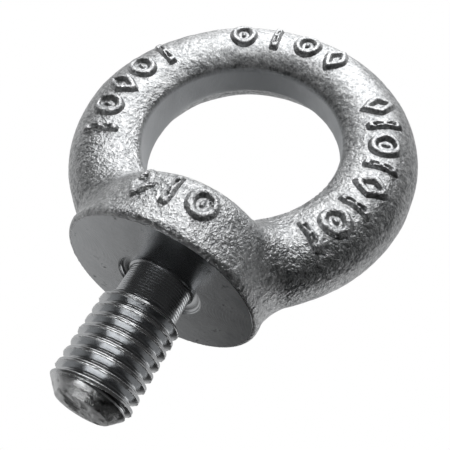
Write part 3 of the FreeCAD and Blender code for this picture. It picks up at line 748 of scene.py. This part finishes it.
def threadTree():
    # a sheet whose rows follow the helix; rows past either end shrink to a closed disc
    tree, values = newTree("cut_thread", "Thread", (
        ("Geometry", "Geometry"), ("Radius", "Float"), ("Depth", "Float"), ("Pitch", "Float"),
        ("Crest Flat", "Float"), ("Root Flat", "Float"), ("Start", "Float"), ("Turns", "Float"),
        ("Rows", "Int"),
        ("Steps", "Int"), ("Top", "Float"), ("Top Radius", "Float"), ("Top Run", "Float"), ("End", "Float"),
        ("End Radius", "Float"), ("End Run", "Float"), ("Crown", "Float"), ("Burr", "Float"),
        ("Roughness", "Float"), ("Seed", "Int"), ("Material", "Material")))
    sheet = addNode(tree, "GeometryNodeMeshGrid", {"Size X": 1.0, "Size Y": 1.0},
                    {"Vertices X": values["Rows"], "Vertices Y": values["Steps"]})
    place = addNode(tree, "GeometryNodeInputPosition")
    parts = addNode(tree, "ShaderNodeSeparateXYZ", links={0: place})
    values.update(down=parts.outputs[0], round=parts.outputs[1])
    for name, operation, *terms in (
        ("down", "ADD", "down", 0.5), ("down", "MULTIPLY", "down", "Turns"), ("round", "ADD", "round", 0.5),
        ("angle", "MULTIPLY", "round", 2 * math.pi), ("cos", "COSINE", "angle"), ("sin", "SINE", "angle"),
        ("free", "SUBTRACT", "round", "down"), ("free", "MULTIPLY_ADD", "free", "Pitch", "Start"),
        ("z", "MINIMUM", "free", "Top"), ("z", "MAXIMUM", "z", "End"),
        ("over", "SUBTRACT", "free", "z"), ("over", "ABSOLUTE", "over"),
        # where this row is across the thread, from the middle of a crest
        ("f", "ADD", "down", 1e-5), ("f", "FRACT", "f"), ("f", "SUBTRACT", "f", 0.5),
        ("f", "MULTIPLY", "f", "Pitch"), ("crestHalf", "MULTIPLY", "Crest Flat", 0.5),
        ("lip", "SUBTRACT", "f", "crestHalf"), ("lip", "ABSOLUTE", "lip"), ("lip", "DIVIDE", "lip", 0.12),
        ("lip", "SUBTRACT", 1.0, "lip"), ("lip", "MAXIMUM", "lip", 0.0), ("f", "ABSOLUTE", "f"),
        ("edge", "SUBTRACT", "f", "crestHalf"), ("edge", "ABSOLUTE", "edge"),
        ("edge", "DIVIDE", "edge", -0.1),
        ("edge", "ADD", "edge", 1.0), ("edge", "MAXIMUM", "edge", 0.0),
        ("flank", "ADD", "Crest Flat", "Root Flat"), ("flank", "SUBTRACT", "Pitch", "flank"),
        ("flank", "MULTIPLY", "flank", 0.5), ("f", "SUBTRACT", "f", "crestHalf"),
        ("f", "DIVIDE", "f", "flank"),
        ("f", "SMOOTH_MAX", "f", 0.0, 0.12), ("f", "SMOOTH_MIN", "f", 1.0, 0.12),
        # the die stops short of the end, so the groove runs out
        ("tip", "SUBTRACT", "z", "End"), ("tip", "SUBTRACT", "End Run", "tip"),
        ("out", "MULTIPLY_ADD", "tip", -1.6, 1.0), ("out", "MINIMUM", "out", 1.0),
        ("out", "MAXIMUM", "out", 0.0),
        ("tip", "MINIMUM", "tip", 1.0), ("tip", "MAXIMUM", "tip", 0.0),
        ("cut", "MULTIPLY", "f", "Depth"), ("cut", "MULTIPLY", "cut", "out"),
        ("r", "SUBTRACT", "Radius", "cut"),
        # chamfers at both ends, then the flat ends
        ("fromTop", "SUBTRACT", "Top", "z"), ("rise", "SUBTRACT", "Radius", "Top Radius"),
        ("rise", "DIVIDE", "rise", "Top Run"), ("topLimit", "MULTIPLY_ADD", "fromTop", "rise", "Top Radius"),
        ("fromEnd", "SUBTRACT", "z", "End"), ("rise", "SUBTRACT", "Radius", "End Radius"),
        ("rise", "DIVIDE", "rise", "End Run"), ("endLimit", "MULTIPLY_ADD", "fromEnd", "rise", "End Radius"),
        ("limit", "MINIMUM", "topLimit", "endLimit"), ("r", "SMOOTH_MIN", "r", "limit", 0.15),
        ("shrink", "MULTIPLY", "over", 2.4), ("r", "SUBTRACT", "r", "shrink"), ("r", "MAXIMUM", "r", 0.0),
        ("x", "MULTIPLY", "cos", "r"), ("y", "MULTIPLY", "sin", "r"),
    ):
        linked = {i: values.get(term, term) for i, term in enumerate(terms)}
        values[name] = addNode(tree, "ShaderNodeMath", {"operation": operation}, linked).outputs[0]
    # the noise reads the finished place, not the sheet, so it meets itself all round
    spot = addNode(tree, "ShaderNodeCombineXYZ", links={0: values["x"], 1: values["y"], 2: values["z"]})
    values["tear"] = addNode(tree, "ShaderNodeTexNoise",
                             {"noise_dimensions": "4D", "Scale": 1.1, "Detail": 4.0, "Roughness": 0.65},
                             {"Vector": spot, "W": values["Seed"]}).outputs[0]
    values["bead"] = addNode(tree, "ShaderNodeTexNoise",
                             {"noise_dimensions": "4D", "Scale": 2.2, "Detail": 2.0},
                             {"Vector": spot, "W": values["Seed"]}).outputs[0]
    for name, operation, *terms in (
        # beads along the lower edge of the crests
        ("bead", "SUBTRACT", "bead", 0.42), ("bead", "MAXIMUM", "bead", 0.0),
        ("bead", "MULTIPLY", "bead", 5.0),
        ("lip", "MULTIPLY", "lip", "bead"), ("clear", "GREATER_THAN", "limit", "Radius"),
        ("lip", "MULTIPLY", "lip", "clear"), ("r", "MULTIPLY_ADD", "lip", "Burr", "r"),
        ("tear", "SUBTRACT", "tear", 0.5), ("tear", "MULTIPLY", "tear", "Roughness"),
        ("inside", "DIVIDE", "r", 0.5), ("inside", "MINIMUM", "inside", 1.0),
        ("tear", "MULTIPLY", "tear", "inside"),
        ("torn", "MULTIPLY_ADD", "tip", 2.4, 0.8), ("rTear", "MULTIPLY", "tear", "torn"),
        ("r", "ADD", "r", "rTear"),
        ("r", "MAXIMUM", "r", 0.0),
        # the end is slightly domed, and roughest there
        ("part", "DIVIDE", "r", "End Radius"), ("part", "POWER", "part", 2.0),
        ("part", "SUBTRACT", 1.0, "part"),
        ("part", "MAXIMUM", "part", 0.0), ("low", "LESS_THAN", "free", "End"),
        ("part", "MULTIPLY", "part", "low"),
        ("part", "MULTIPLY", "part", "Crown"), ("z", "SUBTRACT", "z", "part"),
        ("ends", "MINIMUM", "over", 0.4), ("ends", "MULTIPLY", "ends", 2.5),
        ("zTear", "MULTIPLY", "tear", "ends"), ("zTear", "MULTIPLY", "zTear", 4.0),
        ("z", "ADD", "z", "zTear"),
        ("r", "MULTIPLY", "r", mm), ("z", "MULTIPLY", "z", mm),
        ("x", "MULTIPLY", "cos", "r"), ("y", "MULTIPLY", "sin", "r"),
        ("blunt", "MULTIPLY", "over", 5.0), ("blunt", "MINIMUM", "blunt", 1.0),
        ("blunt", "MAXIMUM", "blunt", "tip"),
        ("crest", "MAXIMUM", "edge", "blunt"),
    ):
        linked = {i: values.get(term, term) for i, term in enumerate(terms)}
        values[name] = addNode(tree, "ShaderNodeMath", {"operation": operation}, linked).outputs[0]
    spot = addNode(tree, "ShaderNodeCombineXYZ", links={0: values["x"], 1: values["y"], 2: values["z"]})
    # the crest edges and the ends, which the material paints paler, along the crest edges partly as a painted
    # highlight
    for attribute, source in (("crest", "crest"), ("sheared", "blunt")):
        sheet = addNode(tree, "GeometryNodeStoreNamedAttribute", {"data_type": "FLOAT", "Name": attribute},
                        {"Geometry": sheet, "Value": values[source]})
    sheet = addNode(tree, "GeometryNodeSetPosition", links={"Geometry": sheet, "Position": spot})
    sheet = addNode(tree, "GeometryNodeMergeByDistance", {"Distance": 2e-6}, {"Geometry": sheet})
    sheet = addNode(tree, "GeometryNodeRealizeInstances", links={"Geometry": sheet})
    sheet = addNode(tree, "GeometryNodeSetMaterial",
                    links={"Geometry": sheet, "Material": values["Material"]})
    addNode(tree, "NodeGroupOutput", links={"Thread": sheet})
    return tree


def makeThread():
    end = tipLow[2] + thread["crown"]
    # the first row starts a whole number of turns above a crest, clear of the top
    above = math.floor((thread["top"] - thread["phase"]) / thread["pitch"]) + 2.5
    start = thread["phase"] + above * thread["pitch"]
    turns = math.ceil((start - end) / thread["pitch"]) + 3
    mesh = runNodes(newPiece("thread", bpy.data.meshes.new("thread")), threadTree(), {
        "Radius": threadMount["dims"]["r_mm"], "Depth": thread["depth"], "Pitch": thread["pitch"],
        "Crest Flat": thread["crestFlat"] * thread["pitch"], "Burr": thread["burr"],
        "Root Flat": thread["rootFlat"] * thread["pitch"], "Start": start, "Turns": float(turns),
        "Rows": turns * thread["rowsPerTurn"] + 1, "Steps": thread["steps"] + 1, "Top": thread["top"],
        "Top Radius": thread["topRadius"], "Top Run": thread["topRun"], "End": end,
        "End Radius": thread["tipRadius"], "End Run": thread["tipRun"], "Crown": thread["crown"],
        "Roughness": thread["roughness"], "Seed": thread["seed"], "Material": threadSteel})
    builder = bmesh.new()
    builder.from_mesh(mesh)
    bmesh.ops.remove_doubles(builder, verts=builder.verts, dist=2e-6)
    bmesh.ops.dissolve_degenerate(builder, edges=builder.edges, dist=1e-6)
    bmesh.ops.holes_fill(builder, edges=[edge for edge in builder.edges if len(edge.link_faces) == 1],
                         sides=12)
    # the sheet's last rows meet in a point under the tip
    pole = [v for v in builder.verts if math.hypot(v.co.x, v.co.y) < 6e-6 and v.co.z < end * mm]
    bmesh.ops.pointmerge(builder, verts=pole, merge_co=pole[0].co)
    bmesh.ops.dissolve_degenerate(builder, edges=builder.edges, dist=1e-7)
    bmesh.ops.recalc_face_normals(builder, faces=builder.faces)
    print("open edges on the thread:", sum(1 for edge in builder.edges if len(edge.link_faces) != 2))
    builder.to_mesh(mesh)
    builder.free()
    return newPiece("threaded_shank_and_tip", mesh, threadSteel)


threadedShank = makeThread()
print("thread cut")

finishPiece(forgedEye, "forged_steel", "eye_ring", "collar")
finishPiece(eyeMarks, "forged_steel", "ring_marks")
finishPiece(collarMarks, "forged_steel", "collar_marks")
finishPiece(turnedSeat, "turned_steel", "turned_seat")
finishPiece(turnedNeck, "turned_steel", "thread_relief")
finishPiece(threadedShank, "thread_steel", "threaded_shank", "shank_tip")

# camera
camera = {
    "azimuth": 19.31,
    "elevation": -30.58,
    "roll": 31.30,
    "distance": 108.79,
    "lens": 57.78,
    "target": (3.134, 1.551, 14.278),
}
a, e, roll = (math.radians(camera[key]) for key in ("azimuth", "elevation", "roll"))
back = Vector((math.sin(a) * math.cos(e), -math.cos(a) * math.cos(e), math.sin(e)))
level = Vector((math.cos(a), math.sin(a), 0))
plumb = back.cross(level)
right = math.cos(roll) * level + math.sin(roll) * plumb
upward = math.cos(roll) * plumb - math.sin(roll) * level
target = Vector(camera["target"]) * mm
cameraData = bpy.data.cameras.new("camera")
cameraData.lens, cameraData.sensor_width = camera["lens"], 36.0
cameraData.clip_start, cameraData.clip_end = 0.005, 10.0
cameraObject = bpy.data.objects.new("camera", cameraData)
cameraObject.matrix_world = (Matrix.Translation(target + back * camera["distance"] * mm)
                             @ Matrix((right, upward, back)).transposed().to_4x4())
bpy.context.collection.objects.link(cameraObject)
bpy.context.scene.camera = cameraObject

# lights, placed from the camera's side: (right, up, towards the camera)
lights = {
    "keySoftbox": {"side": (0.2, 1.0, 0.26), "distance": 0.4, "size": (0.4, 0.28), "power": 1.08},
    "topSoftbox": {"side": (0.22, 0.9, -0.42), "distance": 0.4, "size": (0.3, 0.22), "power": 0.26},
    "lowLeft": {"side": (-0.62, -0.62, 0.48), "distance": 0.45, "size": (0.15, 0.15), "power": 0.44},
    "lowRight": {"side": (0.5, -0.8, -0.4), "distance": 0.45, "size": (0.22, 0.2), "power": 0.16},
}
for name, light in lights.items():
    lamp = bpy.data.lights.new(name, "AREA")
    lamp.shape, lamp.energy = "RECTANGLE", light["power"]
    lamp.size, lamp.size_y = light["size"]
    lampObject = bpy.data.objects.new(name, lamp)
    away = (right * light["side"][0] + upward * light["side"][1] + back * light["side"][2]).normalized()
    lampObject.location = target + away * light["distance"]
    lampObject.rotation_mode = "QUATERNION"
    lampObject.rotation_quaternion = away.to_track_quat("Z", "Y")
    bpy.context.collection.objects.link(lampObject)

floor = {"size": 3.0, "drop": 0.22, "colour": "#D8D8D6"}
half, low = floor["size"] / 2, -floor["drop"]
floorMesh = bpy.data.meshes.new("floor")
floorMesh.from_pydata([(-half, -half, low), (half, -half, low), (half, half, low), (-half, half, low)], [],
                      [(0, 1, 2, 3)])
paper = bpy.data.materials.new("matt_paper")      # plain studio paper: no shine, even and pale
paper.use_nodes = True
paper.node_tree.nodes["Principled BSDF"].inputs["Base Color"].default_value = fromHex(floor["colour"])
paper.node_tree.nodes["Principled BSDF"].inputs["Roughness"].default_value = 0.9
floorObject = newPiece("floor", floorMesh, paper, smooth=False)
floorObject.visible_glossy = False                # the metal mirrors the tent instead

# the backdrop is plain white, but the metal mirrors a tent: grey behind the object, darker underneath, nearly
# black on the camera's side, and a little brighter on its left
tent = {"glow": 0.58, "under": (-0.8, -0.52), "underShare": 0.06, "front": (-0.35, 0.02), "frontShare": 0.1,
        "left": (-0.2, -0.75), "leftShare": 1.15}
world = bpy.data.worlds.new("studio")
bpy.context.scene.world = world
world.use_nodes = True
sky = world.node_tree
sky.nodes["Background"].inputs["Color"].default_value = (1, 1, 1, 1)
towards = addNode(sky, "ShaderNodeTexCoord").outputs["Generated"]
glow = addNode(sky, "ShaderNodeValue")
glow.outputs[0].default_value = tent["glow"]
for axis, (start, end), low, full in (
        (upward, tent["under"], tent["underShare"], 1.0),
        (back, tent["front"], 1.0, tent["frontShare"]),
        (right, tent["left"], 1.0, tent["leftShare"])):
    along = addNode(sky, "ShaderNodeVectorMath", {"operation": "DOT_PRODUCT", 1: axis}, {0: towards})
    share = addNode(sky, "ShaderNodeMapRange", {
        "interpolation_type": "SMOOTHSTEP", "From Min": start, "From Max": end, "To Min": low,
        "To Max": full},
        {"Value": along.outputs["Value"]})
    glow = addNode(sky, "ShaderNodeMath", {"operation": "MULTIPLY"}, {0: glow, 1: share})
seen = addNode(sky, "ShaderNodeLightPath").outputs["Is Camera Ray"]
strength = addNode(sky, "ShaderNodeMix", {"data_type": "FLOAT", 3: 1.0}, {0: seen, 2: glow})
sky.links.new(strength.outputs[0], sky.nodes["Background"].inputs["Strength"])
bpy.context.scene.view_settings.view_transform = "Standard"
